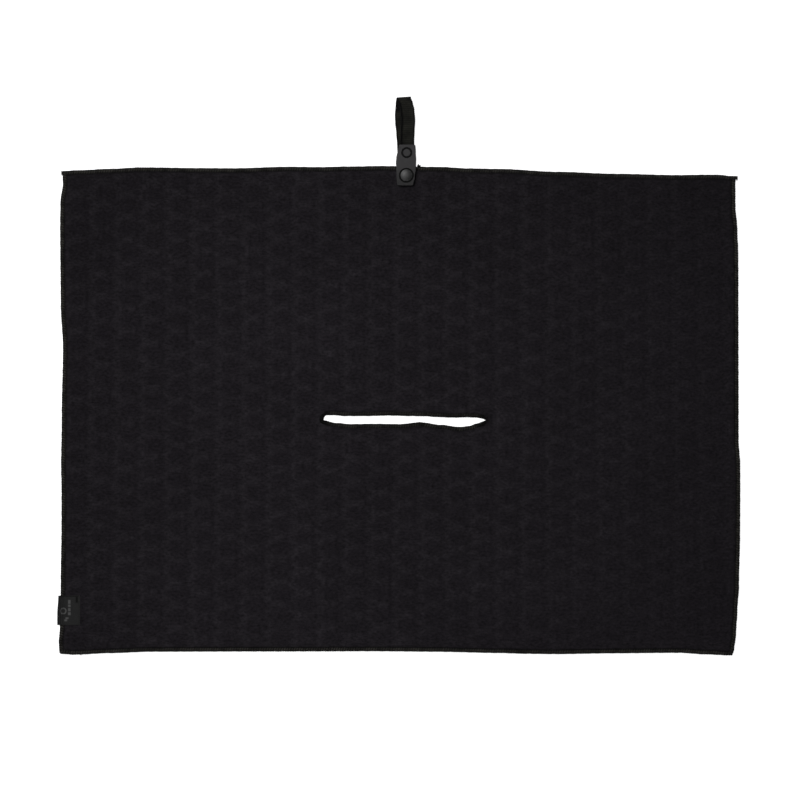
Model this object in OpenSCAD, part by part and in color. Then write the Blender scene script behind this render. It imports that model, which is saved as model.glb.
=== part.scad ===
// Golf towel: microfibre waffle cloth with overlocked edges, a club slit,
// a woven edge label and a webbing hanging strap that opens with a snap.
// Millimetres. The towel lies flat: +Z up, +Y towards the strap.
// The origin is under the middle of the whole object.

/* [Towel] */
// Width of the towel over its overlocked edges
towel_w = 711; // [500:1:900]
// Length of the towel over its overlocked edges
towel_l = 508; // [380:1:620]
// Thickness of the waffle cloth
cloth_t = 2.4; // [2.2:0.1:3.2]
// Width of the overlock seam
seam_w = 3.2; // [2.6:0.1:4.0]

/* [Club slit] */
// Length of the slit opening
slit_l = 170; // [120:1:200]
// Width of the slit opening when the towel lies relaxed
slit_w = 8; // [7:0.5:14]
// Distance of the slit below the towel's middle
slit_drop = 9; // [0:1:20]
// Distance of the slit right of the towel's middle
slit_shift = 4.5; // [0:0.5:8]

/* [Strap] */
// Width of the webbing
tape_w = 15; // [14:0.5:16]
// Thickness of the webbing
tape_t = 0.9; // [0.8:0.05:1.0]
// How far the strap's fold stands beyond the towel's top edge
strap_reach = 76; // [70:1:95]
// How far the strap's root runs under the cloth
root_l = 20; // [19:1:26]
// Distance of the strap's snap right of the towel's middle
snap_shift = 7; // [0:0.5:12]
// Length of the moulded tab
tab_l = 43; // [38:1:46]
// Width of the moulded tab
tab_w = 18.5; // [18:0.5:20]
// Thickness of the moulded tab
tab_t = 1.2; // [1.0:0.1:1.6]

/* [Snap] */
// Diameter of the snap cap
cap_d = 12.4; // [11.5:0.1:13]
// Height of the cap's dome above the tab
cap_h = 1.7; // [1.4:0.1:2.4]
// Distance of the snap below the towel's top edge
snap_drop = 6.5; // [6:0.5:9]
// Running gap between the stud's head and the socket
snap_gap = 0.15; // [0.1:0.01:0.2]

/* [Label] */
// Length of the label along the towel's edge
label_l = 30; // [20:1:40]
// Width of the label on the cloth
label_w = 20; // [16:1:26]
// How far the label's fold stands outside the edge
label_out = 4; // [3:0.5:5]
// Distance of the label's lower end from the towel's lower edge
label_up = 30; // [20:1:60]

/* [Hidden] */
$fn = 48;
eps = 0.01;

// Towel rectangle: the whole object, label and strap included, is centred on the origin
x_mid = label_out / 2;
x_left = x_mid - towel_w / 2;
x_right = x_mid + towel_w / 2;
y_top = (towel_l - strap_reach) / 2;
y_bottom = y_top - towel_l;

// The fold line runs through the slit; each half stops a hair short of it
slit_x = x_mid + slit_shift;
fold_y = (y_top + y_bottom) / 2 - slit_drop;
half_gap = 0.1;

// The cloth is squeezed to a thin lip where the overlock wraps it
lip_t = 1.0;
lip_z = (cloth_t - lip_t) / 2;
lip_w = seam_w - 0.8;
seam_wall = 0.8;

// Heights of the stack at the snap, from the floor up
flange_t = 0.5;
root_z = 0.6;
pocket_h = root_z + tape_t;
stud_base_t = 0.4;
socket_z = cloth_t + stud_base_t + 0.1;
socket_t = 1.5;
leg_z = socket_z + socket_t;
tab_z = leg_z + tape_t;
cap_z = tab_z + tab_t;

// Places along the strap
snap_x = x_mid + snap_shift;
snap_y = y_top - snap_drop;
back_x = snap_x - 2;
front_x = snap_x + 1;
fold_x = snap_x - 0.5;
fold_top = y_top + strap_reach;
fold_rise = 7;
fold_r = fold_rise / 2;
fold_cy = fold_top - fold_r;
fold_cz = root_z + fold_r;
leg_top_z = root_z + fold_rise - tape_t;
tab_low_y = snap_y - 10.7;
tab_high_y = tab_low_y + tab_l;
swell_y = tab_high_y + 14;
swell_z = leg_top_z - 0.7;

// Ring mark on the tab
mark_drop = 8.5;
mark_r = 5;
mark_line = 1.1;
mark_depth = 0.35;

// Snap radii
post_r = 1.2;
stud_base_r = 5;
stud_neck_r = 1.75;
stud_head_r = 2.0;
stud_top_z = cloth_t + stud_base_t + 1.25;
socket_bore_r = stud_head_r + snap_gap;
socket_r = 5.2;
spring_wire_r = 0.25;
spring_r = stud_neck_r + 0.1 + spring_wire_r;
spring_z = socket_z + 0.45;
flange_r = 5.4;

// Label and its stitches
label_t = 0.35;
label_y = y_bottom + label_up;
label_inset = 1.2;
stitch_d = 0.4;
stitch_l = 2.4;
stitch_pitch = 3.4;

// A long prism: the profile is drawn across it, first axis along Y, second axis up
module along_x(x0, x1) {
    translate([x0, 0, 0]) rotate([90, 0, 90]) linear_extrude(x1 - x0) children();
}

// A long prism: the profile is drawn across it, first axis along X, second axis up
module along_y(y0, y1) {
    translate([0, y1, 0]) rotate([90, 0, 0]) linear_extrude(y1 - y0) children();
}

// The slit's outline, a slot with round ends, grown by a margin
module slit_outline(margin = 0) {
    r = slit_w / 2 + margin;
    run = slit_l / 2 - slit_w / 2;
    translate([slit_x - run, fold_y - r]) square([2 * run, 2 * r]);
    for (side = [-1, 1]) translate([slit_x + side * run, fold_y]) circle(r);
}

// Everything on one side of the fold line: side is -1 below, 1 above
module half_plane(side) {
    y0 = side > 0 ? fold_y + half_gap : fold_y - towel_l;
    translate([-towel_w, y0]) square([2 * towel_w, towel_l - half_gap]);
}

// The towel's rectangle, pulled in by a margin
module towel_outline(margin) {
    translate([x_left + margin, y_bottom + margin])
        square([towel_w - 2 * margin, towel_l - 2 * margin]);
}

// One half of the cloth: full thickness inside the seams, a thin lip inside them
module cloth_half(side) {
    linear_extrude(cloth_t) difference() {
        intersection() {
            towel_outline(seam_w);
            half_plane(side);
        }
        slit_outline(seam_w);
    }
    translate([0, 0, lip_z]) linear_extrude(lip_t) difference() {
        intersection() {
            towel_outline(seam_w - lip_w);
            half_plane(side);
        }
        slit_outline(seam_w - lip_w);
    }
}

// Profile of an overlock: a bar that wraps the cloth's lip; the lip enters from +first axis
module seam_profile() {
    difference() {
        square([seam_w, cloth_t]);
        translate([seam_w - lip_w, lip_z]) square([lip_w + eps, lip_t]);
    }
}

// Overlock of one slit lip, wrapping the cloth's lip from inside the slit
module slit_overlock(side) {
    difference() {
        linear_extrude(cloth_t) difference() {
            intersection() {
                slit_outline(seam_w);
                half_plane(side);
            }
            slit_outline();
        }
        translate([0, 0, lip_z]) linear_extrude(lip_t) difference() {
            slit_outline(seam_w + eps);
            slit_outline(seam_w - lip_w);
        }
    }
}

// Space that the strap's root takes under the towel
module root_pocket() {
    translate([back_x - tape_w / 2, y_top - root_l, -eps])
        cube([tape_w, root_l + eps, pocket_h + eps]);
}

// Space that the label's rear leaf takes under the towel
module label_pocket() {
    translate([x_left - eps, label_y, -eps])
        cube([label_w + eps, label_l, label_t + 2 * eps]);
}

module snap_bore(z0, z1) {
    translate([snap_x, snap_y, z0]) cylinder(r = post_r, h = z1 - z0);
}

module towel_lower() {
    color("#26232a") difference() {
        cloth_half(-1);
        label_pocket();
    }
}

module towel_upper() {
    color("#26232a") difference() {
        cloth_half(1);
        root_pocket();
        snap_bore(-1, cloth_t + 1);
    }
}

module overlock_bottom() {
    color("#1b1a1c") along_x(x_left, x_right)
        translate([y_bottom, 0]) seam_profile();
}

module overlock_top() {
    color("#1b1a1c") difference() {
        along_x(x_left, x_right)
            translate([y_top, 0]) mirror([1, 0]) seam_profile();
        root_pocket();
    }
}

module overlock_left(y0, y1) {
    color("#1b1a1c") along_y(y0, y1)
        translate([x_left, 0]) seam_profile();
}

module overlock_right(y0, y1) {
    color("#1b1a1c") along_y(y0, y1)
        translate([x_right, 0]) mirror([1, 0]) seam_profile();
}

module overlock_left_lower() {
    difference() {
        overlock_left(y_bottom + seam_w, fold_y - half_gap);
        color("#1b1a1c") label_pocket();
    }
}

module overlock_right_lower() {
    overlock_right(y_bottom + seam_w, fold_y - half_gap);
}

module overlock_left_upper() {
    overlock_left(fold_y + half_gap, y_top - seam_w);
}

module overlock_right_upper() {
    overlock_right(fold_y + half_gap, y_top - seam_w);
}

module slit_overlock_lower() {
    color("#191a17") slit_overlock(-1);
}

module slit_overlock_upper() {
    color("#191a17") slit_overlock(1);
}

// Folded ribbon round the left edge: a U whose closed end stands outside the edge
module woven_label() {
    bend_r = (cloth_t + label_t) / 2;
    run = label_w + label_out - bend_r;
    color("#2a2a2b") along_y(label_y, label_y + label_l)
        translate([x_left - label_out + bend_r, bend_r]) difference() {
            union() {
                circle(bend_r);
                translate([0, -bend_r]) square([run, 2 * bend_r]);
            }
            circle(bend_r - label_t);
            translate([0, label_t - bend_r]) square([run + 1, 2 * (bend_r - label_t)]);
        }
}

// Two rows of lockstitches that hold the label down
module label_stitching() {
    count = floor((label_l - stitch_l) / stitch_pitch);
    first_y = label_y + (label_l - count * stitch_pitch - stitch_l) / 2;
    color("#2f2f31") for (row = [label_inset, label_w - label_inset], k = [0:count])
        translate([x_left + row - stitch_d / 2, first_y + k * stitch_pitch, cloth_t + label_t])
            cube([stitch_d, stitch_l, stitch_d]);
}

// Rear leg of the strap: from its root under the cloth to the fold
module strap_back_leg() {
    color("#20201e") difference() {
        translate([back_x - tape_w / 2, y_top - root_l, root_z])
            cube([tape_w, fold_cy - y_top + root_l, tape_t]);
        snap_bore(0, cloth_t);
    }
}

// Half turn of webbing that joins the two legs
module strap_fold() {
    color("#20201e") along_x(fold_x - tape_w / 2, fold_x + tape_w / 2)
        translate([fold_cy, fold_cz]) difference() {
            circle(fold_r);
            circle(fold_r - tape_t);
            translate([-2 * fold_r, -2 * fold_r]) square([2 * fold_r, 4 * fold_r]);
        }
}

// Front leg: flat under the tab, then swelling up to the fold
module strap_front_leg() {
    low = [
        [tab_low_y + 1, leg_z], [tab_high_y, leg_z],
        [swell_y, swell_z], [fold_cy, leg_top_z]
    ];
    high = [for (k = [len(low) - 1:-1:0]) low[k] + [0, tape_t]];
    color("#20201e") difference() {
        along_x(front_x - tape_w / 2, front_x + tape_w / 2) polygon(concat(low, high));
        snap_bore(leg_z - 1, tab_z + 1);
    }
}

// Plain ring pressed into the tab
module tab_mark() {
    translate([snap_x, tab_high_y - mark_drop, cap_z - mark_depth])
        linear_extrude(1) difference() {
            circle(mark_r);
            circle(mark_r - mark_line);
        }
}

module strap_tab() {
    r = 1.5;
    color("#3a3a3b") difference() {
        translate([0, 0, tab_z]) linear_extrude(tab_t) {
            translate([snap_x - tab_w / 2, tab_low_y + r]) square([tab_w, tab_l - 2 * r]);
            translate([snap_x - tab_w / 2 + r, tab_low_y]) square([tab_w - 2 * r, tab_l]);
            for (dx = [-1, 1], y = [tab_low_y + r, tab_high_y - r])
                translate([snap_x + dx * (tab_w / 2 - r), y]) circle(r);
        }
        snap_bore(tab_z - 1, cap_z + 1);
        tab_mark();
    }
}

// Two rows of stitches that sew the strap's root to the towel, seen on both faces
module anchor_stitching() {
    color("#2a2a2b") for (y = [3.5, 6.5], k = [0:4], z = [root_z - stitch_d, cloth_t])
        translate([back_x - 6 + k * 2.5, y_top - root_l + y, z])
            cube([2, stitch_d, stitch_d]);
}

// Stud: flat base on the cloth, waisted neck and a rounded head
module snap_stud() {
    z0 = cloth_t;
    z1 = z0 + stud_base_t;
    color("#1d1d1f") translate([snap_x, snap_y, 0]) rotate_extrude() polygon([
        [0, z1 + 0.4], [post_r, z1 + 0.4], [post_r, z0], [stud_base_r, z0],
        [stud_base_r, z1], [stud_neck_r, z1], [stud_neck_r, stud_top_z - 0.45],
        [stud_head_r, stud_top_z - 0.35], [stud_head_r, stud_top_z - 0.15],
        [stud_head_r - 0.3, stud_top_z], [0, stud_top_z]
    ]);
}

// Post: thin flange behind the strap's root, shank up into the stud
module stud_post() {
    color("#1d1d1f") translate([snap_x, snap_y, root_z - flange_t]) {
        cylinder(r = flange_r, h = flange_t);
        cylinder(r = post_r, h = cloth_t + stud_base_t + 0.4 - root_z + flange_t);
    }
}

// Cap: spherical dome over a short rim, with the shank that rivets the strap
module snap_cap() {
    rim = 0.5;
    rise = cap_h - rim;
    dome_r = (pow(cap_d / 2, 2) + rise * rise) / (2 * rise);
    color("#151516") translate([snap_x, snap_y, cap_z]) {
        cylinder(d = cap_d, h = rim);
        intersection() {
            translate([0, 0, cap_h - dome_r]) sphere(dome_r, $fn = 160);
            cylinder(d = cap_d, h = cap_h);
        }
        translate([0, 0, leg_z - 0.25 - cap_z]) cylinder(r = post_r, h = cap_z - leg_z + 0.25);
    }
}

// Socket: flanged ring with a groove for the spring and a web that the cap rivets to
module snap_socket() {
    web_z = leg_z - 0.25;
    groove_r = spring_r + spring_wire_r + 0.05;
    groove_h = spring_wire_r + 0.05;
    color("#1d1d1f") translate([snap_x, snap_y, 0]) rotate_extrude() polygon([
        [socket_bore_r, socket_z], [socket_r - 0.6, socket_z], [socket_r, socket_z + 0.4],
        [socket_r, leg_z - 0.3], [socket_r - 0.3, leg_z], [post_r, leg_z],
        [post_r, web_z], [socket_bore_r, web_z],
        [socket_bore_r, spring_z + groove_h], [groove_r, spring_z + groove_h],
        [groove_r, spring_z - groove_h], [socket_bore_r, spring_z - groove_h]
    ]);
}

// Split ring of spring wire that grips the stud's neck
module socket_spring() {
    color("#8d8f93") translate([snap_x, snap_y, spring_z])
        rotate([0, 0, 20]) rotate_extrude(angle = 320)
            translate([spring_r, 0]) circle(spring_wire_r, $fn = 20);
}

towel_lower();
overlock_bottom();
overlock_left_lower();
overlock_right_lower();
slit_overlock_lower();
woven_label();
label_stitching();
towel_upper();
overlock_top();
overlock_left_upper();
overlock_right_upper();
slit_overlock_upper();
strap_back_leg();
strap_fold();
anchor_stitching();
snap_stud();
stud_post();
strap_front_leg();
strap_tab();
snap_cap();
snap_socket();
socket_spring();
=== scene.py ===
# %% [markdown]
# A golf towel, laid flat and seen from straight above: one sheet of black microfibre
# with a pressed star pattern, overlocked edges, a bound slit for the clubs, a woven
# label folded round the left edge, and a webbing strap that closes with a snap.
# Almost all of it is thread and cloth, so the lesson is about turning formulas for
# fabric into meshes, and about dark materials that still show their texture.

# %% Load the frame and keep its box
import math

import bpy
import numpy as np
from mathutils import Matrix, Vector


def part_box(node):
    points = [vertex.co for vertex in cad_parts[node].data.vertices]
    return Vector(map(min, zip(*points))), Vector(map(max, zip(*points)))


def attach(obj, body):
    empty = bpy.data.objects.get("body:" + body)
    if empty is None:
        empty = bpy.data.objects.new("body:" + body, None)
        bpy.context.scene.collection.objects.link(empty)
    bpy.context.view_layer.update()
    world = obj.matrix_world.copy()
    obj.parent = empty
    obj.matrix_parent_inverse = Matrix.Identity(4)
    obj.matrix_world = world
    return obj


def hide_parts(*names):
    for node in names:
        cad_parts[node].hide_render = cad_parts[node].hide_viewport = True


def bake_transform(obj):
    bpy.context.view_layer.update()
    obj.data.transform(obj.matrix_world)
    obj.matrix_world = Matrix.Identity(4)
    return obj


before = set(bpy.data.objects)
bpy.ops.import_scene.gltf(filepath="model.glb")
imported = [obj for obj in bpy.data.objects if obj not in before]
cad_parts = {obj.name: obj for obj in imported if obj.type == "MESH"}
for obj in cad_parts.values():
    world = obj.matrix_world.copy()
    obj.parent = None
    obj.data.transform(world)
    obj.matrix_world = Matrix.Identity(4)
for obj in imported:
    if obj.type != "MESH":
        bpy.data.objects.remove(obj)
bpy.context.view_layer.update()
MM = 0.001

# %% [markdown]
# Every place comes from the CAD boxes. The towel's four edges are the outer faces of
# its overlock seams, and the fold line runs through the middle of the slit.

# %% Places taken from the frame
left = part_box("overlock_left_lower")[0].x
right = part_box("overlock_right_lower")[1].x
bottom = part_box("overlock_bottom")[0].y
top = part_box("overlock_top")[1].y
seam_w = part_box("overlock_bottom")[1].y - bottom
cloth_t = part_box("towel_lower")[1].z
slit_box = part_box("slit_overlock_lower")
fold_y = (slit_box[1].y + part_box("slit_overlock_upper")[0].y) / 2
slit_x = (slit_box[0].x + slit_box[1].x) / 2
slit_half = (slit_box[1].x - slit_box[0].x) / 2 - seam_w
tab_lo, tab_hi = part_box("strap_tab")
cap_lo, cap_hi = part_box("snap_cap")
label_lo, label_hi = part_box("woven_label")
snap_x, snap_y = (cap_lo.x + cap_hi.x) / 2, (cap_lo.y + cap_hi.y) / 2
print(f"towel {1000 * (right - left):.0f} x {1000 * (top - bottom):.0f} mm")

# %% [markdown]
# A few helpers carry the whole file. One turns arrays of points and quads into a mesh.
# Others list the quads of a grid of points, which is all that a surface made by a
# formula needs, and of the walls that close it into a solid. Two more are the soft
# step and the soft curve that most of the formulas are made of.


# %% Helpers for meshes
def mesh_object(name, points, quads, caps=(), crease=None):
    """A mesh from (n, 3) points, (m, 4) quads and a few larger faces that close its ends.
    crease is the angle in degrees above which an edge stays sharp."""
    points = np.asarray(points, np.float32).reshape(-1, 3)
    loops = np.concatenate([quads.ravel(), *[np.asarray(c) for c in caps]])
    sizes = np.concatenate([np.full(len(quads), 4), [len(c) for c in caps]]).astype(int)
    starts = np.concatenate([[0], np.cumsum(sizes)[:-1]])
    mesh = bpy.data.meshes.new(name)
    mesh.vertices.add(len(points))
    mesh.vertices.foreach_set("co", points.ravel())
    mesh.loops.add(len(loops))
    mesh.loops.foreach_set("vertex_index", loops.astype(np.int32))
    mesh.polygons.add(len(sizes))
    mesh.polygons.foreach_set("loop_start", starts.astype(np.int32))
    mesh.polygons.foreach_set("use_smooth", np.ones(len(sizes), bool))
    mesh.update(calc_edges=True)
    mesh.validate()
    if crease is not None:
        mesh.set_sharp_from_angle(angle=math.radians(crease))
    piece = bpy.data.objects.new(name, mesh)
    bpy.context.scene.collection.objects.link(piece)
    triangles = 2 * len(quads) + sum(len(c) - 2 for c in caps)
    print(f"{name}: {len(points)} points, {triangles} triangles")
    return piece


def joined(index, wrap=False):
    """Quads between the points of an index table, anticlockwise where its columns run to
    the right and its rows run up. wrap also joins the last column to the first."""
    if wrap:
        index = np.column_stack([index, index[:, :1]])
    low, high = index[:-1], index[1:]
    corners = [low[:, :-1], low[:, 1:], high[:, 1:], high[:, :-1]]
    return np.stack(corners, axis=-1).reshape(-1, 4)


def wall(loop, offset):
    """Quads along a closed line of points on a face, from each point's twin on the back,
    which is offset places further down the list."""
    onward = np.roll(loop, -1)
    return np.stack([loop + offset, onward + offset, onward, loop], axis=-1)


def slab_quads(shape):
    """Quads of a thin closed solid: a face and a back of one shape, and the rim."""
    cells = np.arange(shape[0] * shape[1]).reshape(shape)
    rim = np.concatenate([cells[0, :-1], cells[:-1, -1], cells[-1, :0:-1], cells[:0:-1, 0]])
    face = joined(cells)
    return np.concatenate([face, face[:, ::-1] + cells.size, wall(rim, cells.size)])


def store(piece, name, values):
    """Keeps one vector a point on the mesh, for a material to read. A single number a
    point fills all three parts, and a single vector goes to every point."""
    count = len(piece.data.vertices)
    values = np.ascontiguousarray(np.broadcast_to(values, (count, 3)), np.float32)
    kept = piece.data.attributes.new(name, "FLOAT_VECTOR", "POINT")
    kept.data.foreach_set("vector", values.ravel())


def smooth(low, high, x):
    """0 below low, 1 above high and an S-shaped step between; low may be above high."""
    t = np.clip((x - low) / (high - low), 0, 1)
    return t * t * (3 - 2 * t)


def through(x, stops):
    """A soft curve through a few (place, value) stops, level at each stop."""
    places, values = np.array(stops, float).T
    k = np.clip(np.searchsorted(places, x) - 1, 0, len(places) - 2)
    share = smooth(0, 1, (x - places[k]) / (places[k + 1] - places[k]))
    return values[k] + (values[k + 1] - values[k]) * share


# %% Helpers for materials
def linear(hex_colour):
    """An sRGB colour such as "#2b292d" as the linear values that a shader takes."""
    value = np.array([int(hex_colour[k : k + 2], 16) / 255 for k in (1, 3, 5)])
    low = value / 12.92
    high = ((value + 0.055) / 1.055) ** 2.4
    return (*np.where(value <= 0.04045, low, high).tolist(), 1.0)


def add(tree, kind, inputs=None, **settings):
    """Adds one node. inputs maps a socket's name or number to a value or to an output."""
    new = tree.nodes.new(kind)
    for key, value in settings.items():
        setattr(new, key, value)
    for key, value in (inputs or {}).items():
        if isinstance(value, bpy.types.NodeSocket):
            tree.links.new(value, new.inputs[key])
        else:
            new.inputs[key].default_value = value
    return new


def material(name, roughness, metallic=0.0, ior=1.5, **constants):
    """A Principled material with its constant values set on the shader's own sockets."""
    made = bpy.data.materials.new(name)
    made.use_nodes = True
    shader = made.node_tree.nodes["Principled BSDF"]
    shader.inputs["Roughness"].default_value = roughness
    shader.inputs["Metallic"].default_value = metallic
    shader.inputs["IOR"].default_value = ior
    for key, value in constants.items():
        socket = key.replace("_", " ").title().replace("Ior", "IOR")
        shader.inputs[socket].default_value = value
    return made, made.node_tree, shader


# %% [markdown]
# Most nodes here do one of a few jobs, so each job gets a short name. Reading a
# material is then like reading the formula behind its colour.


# %% Short names for the usual nodes
def attribute(tree, name, output="Fac"):
    """A value kept on the mesh by store."""
    return add(tree, "ShaderNodeAttribute", attribute_name=name).outputs[output]


def object_place(tree):
    """Where a point of the surface is, in metres from the object's own origin."""
    return add(tree, "ShaderNodeTexCoord").outputs["Object"]


def part(tree, vector, axis):
    """One part of a vector: X, Y or Z."""
    return add(tree, "ShaderNodeSeparateXYZ", {0: vector}).outputs[axis]


def maths(tree, operation, *values):
    """Arithmetic on numbers."""
    return add(tree, "ShaderNodeMath", dict(enumerate(values)), operation=operation).outputs[0]


def product(tree, *values):
    """Several numbers multiplied."""
    result = values[0]
    for value in values[1:]:
        result = maths(tree, "MULTIPLY", result, value)
    return result


def extreme(tree, operation, values):
    """The least or the greatest of several numbers, taken two at a time."""
    result = values[0]
    for value in values[1:]:
        result = maths(tree, operation, result, value)
    return result


def vectors(tree, operation, *values):
    """Arithmetic on vectors; a length and a dot product are numbers."""
    node = add(tree, "ShaderNodeVectorMath", dict(enumerate(values)), operation=operation)
    return node.outputs["Value" if operation in ("LENGTH", "DOT_PRODUCT") else "Vector"]


def scaled(tree, vector, factor):
    """A vector or a colour multiplied by a number."""
    node = add(tree, "ShaderNodeVectorMath", {0: vector, "Scale": factor}, operation="SCALE")
    return node.outputs["Vector"]


def remap(tree, value, low, high, to_low=0.0, to_high=1.0, **settings):
    """A number between low and high moved to between to_low and to_high, and held there."""
    ends = {"From Min": low, "From Max": high, "To Min": to_low, "To Max": to_high}
    return add(tree, "ShaderNodeMapRange", {"Value": value, **ends}, **settings).outputs["Result"]


def noise(tree, place, scale, detail, **inputs):
    """A cloudy number, mostly between 0.3 and 0.7."""
    inputs = {"Vector": place, "Scale": scale, "Detail": detail, **inputs}
    return add(tree, "ShaderNodeTexNoise", inputs).outputs["Fac"]


def mixed_colour(tree, share, first, second):
    """The first colour where share is 0 and the second where it is 1. Each is a hex
    colour or another node's output."""
    first, second = [linear(c) if isinstance(c, str) else c for c in (first, second)]
    inputs = {"Factor": share, "A": first, "B": second}
    return add(tree, "ShaderNodeMix", inputs, data_type="RGBA").outputs["Result"]


def paint(tree, shader, colour):
    """Gives the shader its colour."""
    tree.links.new(colour, shader.inputs["Base Color"])


def roughen(tree, shader, height, strength, depth):
    """Tilts the surface as a small relief would; depth is the relief's size in metres."""
    bump = add(tree, "ShaderNodeBump", {"Height": height, "Strength": strength, "Distance": depth})
    tree.links.new(bump.outputs["Normal"], shader.inputs["Normal"])


# %% [markdown]
# The camera looks straight down from three metres, so that nothing leans, and its lens
# is worked out from the width that the picture has to cover. The floor is a white
# sheet that glows a little, as on a light table, because the towel is nearly black
# and any light strong enough to whiten the floor would wash the cloth out.

# %% Camera
view_width = 0.84
camera_height = 3.0
sensor = 36.0
camera_data = bpy.data.cameras.new("camera")
camera_data.sensor_width = sensor
camera_data.lens = sensor * camera_height / view_width
camera_data.clip_end = 20.0
camera = bpy.data.objects.new("camera", camera_data)
camera.location = (2.2 * MM, -25.9 * MM, camera_height)
bpy.context.scene.collection.objects.link(camera)
bpy.context.scene.camera = camera
print(f"lens {camera_data.lens:.0f} mm")

# %% Floor, lights and world
floor_half = 6.0
floor_z = -0.3 * MM
floor_points = np.array([[x, y, floor_z] for y in (-1, 1) for x in (-1, 1)], float)
floor_points[:, :2] *= floor_half
floor = mesh_object("floor", floor_points, np.array([[0, 1, 3, 2]]))
floor_look, tree, shader = material(
    "white floor paper",
    0.8,
    base_color=linear("#efefef"),
    emission_color=linear("#ffffff"),
    emission_strength=0.95,
)
floor.data.materials.append(floor_look)


def area_light(name, place, target, size, watts):
    """A square softbox at place, turned towards target."""
    data = bpy.data.lights.new(name, "AREA")
    data.size = size
    data.energy = watts
    lamp = bpy.data.objects.new(name, data)
    lamp.location = place
    aim = Vector(target) - Vector(place)
    lamp.rotation_euler = aim.to_track_quat("-Z", "Y").to_euler()
    bpy.context.scene.collection.objects.link(lamp)


area_light("key softbox", (-0.6, 0.8, 1.7), (0, 0, 0), 0.8, 15.3)
area_light("fill softbox", (-0.6, -0.8, 1.6), (0, 0, 0), 1.2, 3.7)
world = bpy.data.worlds.new("studio")
world.use_nodes = True
world.node_tree.nodes["Background"].inputs["Color"].default_value = linear("#f4f5f8")
world.node_tree.nodes["Background"].inputs["Strength"].default_value = 0.07
bpy.context.scene.world = world
bpy.context.scene.view_settings.view_transform = "Standard"
bpy.context.scene.view_settings.look = "None"

# %% [markdown]
# The cloth is pressed with a pattern of stretched hexagons. Each raised pad is a
# hexagon, and where three pads meet the cloth is pressed down into a three-armed star:
# a long stem along the edge on the right, and two shorter arms to the left. The stars
# stop short of each other, so the pads almost touch between them. One formula gives
# the distance to the nearest star. It shapes the mesh here, and the material repeats
# it with nodes, so that colour and relief lie on each other.

# %% The star pattern as a formula
CELL_W = 26.67 * MM
CELL_H = 23.89 * MM
CELL_AT = (12.4 * MM, -24.0 * MM)
STAR_AT = (CELL_AT[0] - CELL_W / 3 + 1.7 * MM, CELL_AT[1] + CELL_H / 2)
STEM = (10.2 * MM, 0.0)
ARM_SHARE = 0.62
ARM = (-ARM_SHARE * CELL_W / 3, ARM_SHARE * CELL_H / 2)
EDGE_STEM = (2 * CELL_W / 3 - 1.7 * MM, 0.0)
EDGE_ARM = (-CELL_W / 3 - 1.7 * MM, CELL_H / 2)


def segment_distance(px, py, along):
    """Distance from each point to the straight line from the origin to along: the point
    is dropped on the line, and the foot is held between the line's two ends."""
    share = np.clip((px * along[0] + py * along[1]) / (along[0] ** 2 + along[1] ** 2), 0, 1)
    return np.hypot(px - share * along[0], py - share * along[1])


def star_distance(x, y, stem, arm):
    """Distance to the nearest star. The stars sit on two rectangular lattices, the second
    half a step along both ways; each point is wrapped into a lattice's own cell, and the
    two arms are one, because y is folded on itself."""
    nearest = np.full(np.shape(x), 1.0)
    for shift in (0, 1):
        px = (x - STAR_AT[0] + (1 + shift) * CELL_W) % (2 * CELL_W) - CELL_W
        py = (y - STAR_AT[1] + (1 + shift) * CELL_H / 2) % CELL_H - CELL_H / 2
        nearest = np.minimum(nearest, segment_distance(px, py, stem))
        nearest = np.minimum(nearest, segment_distance(px, np.abs(py), arm))
    return nearest


def pressed(x, y):
    """How far the cloth is pressed down, 0 on a pad and 1 on a star; a faint crease runs
    on along the hexagons' edges between the stars."""
    star = smooth(5.4 * MM, 0.8 * MM, star_distance(x, y, STEM, ARM))
    crease = smooth(2.4 * MM, 0.3 * MM, star_distance(x, y, EDGE_STEM, EDGE_ARM))
    return np.maximum(star, 0.38 * crease)


# %% How the pattern drifts over the cloth
SINK = [(-330, 0.0), (0, -0.6), (60, 1.4), (140, 5.2), (320, 7.6)]


def pattern_place(x, y):
    """Where a point of the laid cloth was when the pattern was pressed. The press wasn't
    square to the cuts: its columns lean one way on the left and the other way on the
    right, its rows sink towards the right, and the open slit pushes those below it down."""
    u = (x - left) / (right - left)
    v = (top - y) / (top - bottom)
    aside = -0.7 * (1 - u) * (1 - v) - 4.3 * (1 - u) * v - 5.4 * u * (1 - v) - 1.8 * u * v
    down = through(x / MM, SINK) + 2.0 * (1 - u) * smooth(0.0, 0.6, v)
    below = smooth(2 * MM, -2 * MM, y - fold_y) * smooth(-150 * MM, -30 * MM, y - fold_y)
    down = down + 3.6 * below * smooth(190 * MM, 90 * MM, np.abs(x - slit_x))
    return x - aside * MM, y + down * MM


# Stops of a broad pool of painted light and shade on the cloth, across and up.
PAINTED_LIGHT_ACROSS = [(-345, 0.86), (-255, 0.95), (-120, 1.06), (10, 1.02), (200, 1.02), (345, 0.97)]
PAINTED_LIGHT_UP = [(-260, 1.07), (-100, 1.03), (30, 1.02), (200, 0.87)]


def painted_light(x, y):
    """Painted light and shade on the cloth, beyond what the lamps give: lighter in the
    middle, and darker towards the left and upper edges."""
    return through(x / MM, PAINTED_LIGHT_ACROSS) * through(y / MM, PAINTED_LIGHT_UP)


def pattern_strength(x, y):
    """How clearly the pattern shows: fully on the left and in the middle, half on the
    right, and least in the lower right corner, where the pile has been brushed over."""
    right_fade = 0.48 * smooth(70 * MM, 330 * MM, x)
    corner_fade = 0.34 * smooth(-190 * MM, -270 * MM, y) * smooth(-120 * MM, 120 * MM, x)
    return 1 - right_fade - corner_fade


# %% [markdown]
# A towel that has been washed and laid down isn't a true rectangle. Each edge strays a
# few millimetres from its straight cut, and the slit gapes unevenly. A few stops
# along each edge, joined by soft steps, say how far. The sheet also lies in low
# waves, which fade out round the strap, the label and the fold line, so that those
# lie flat where other pieces are fastened to them.

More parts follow.
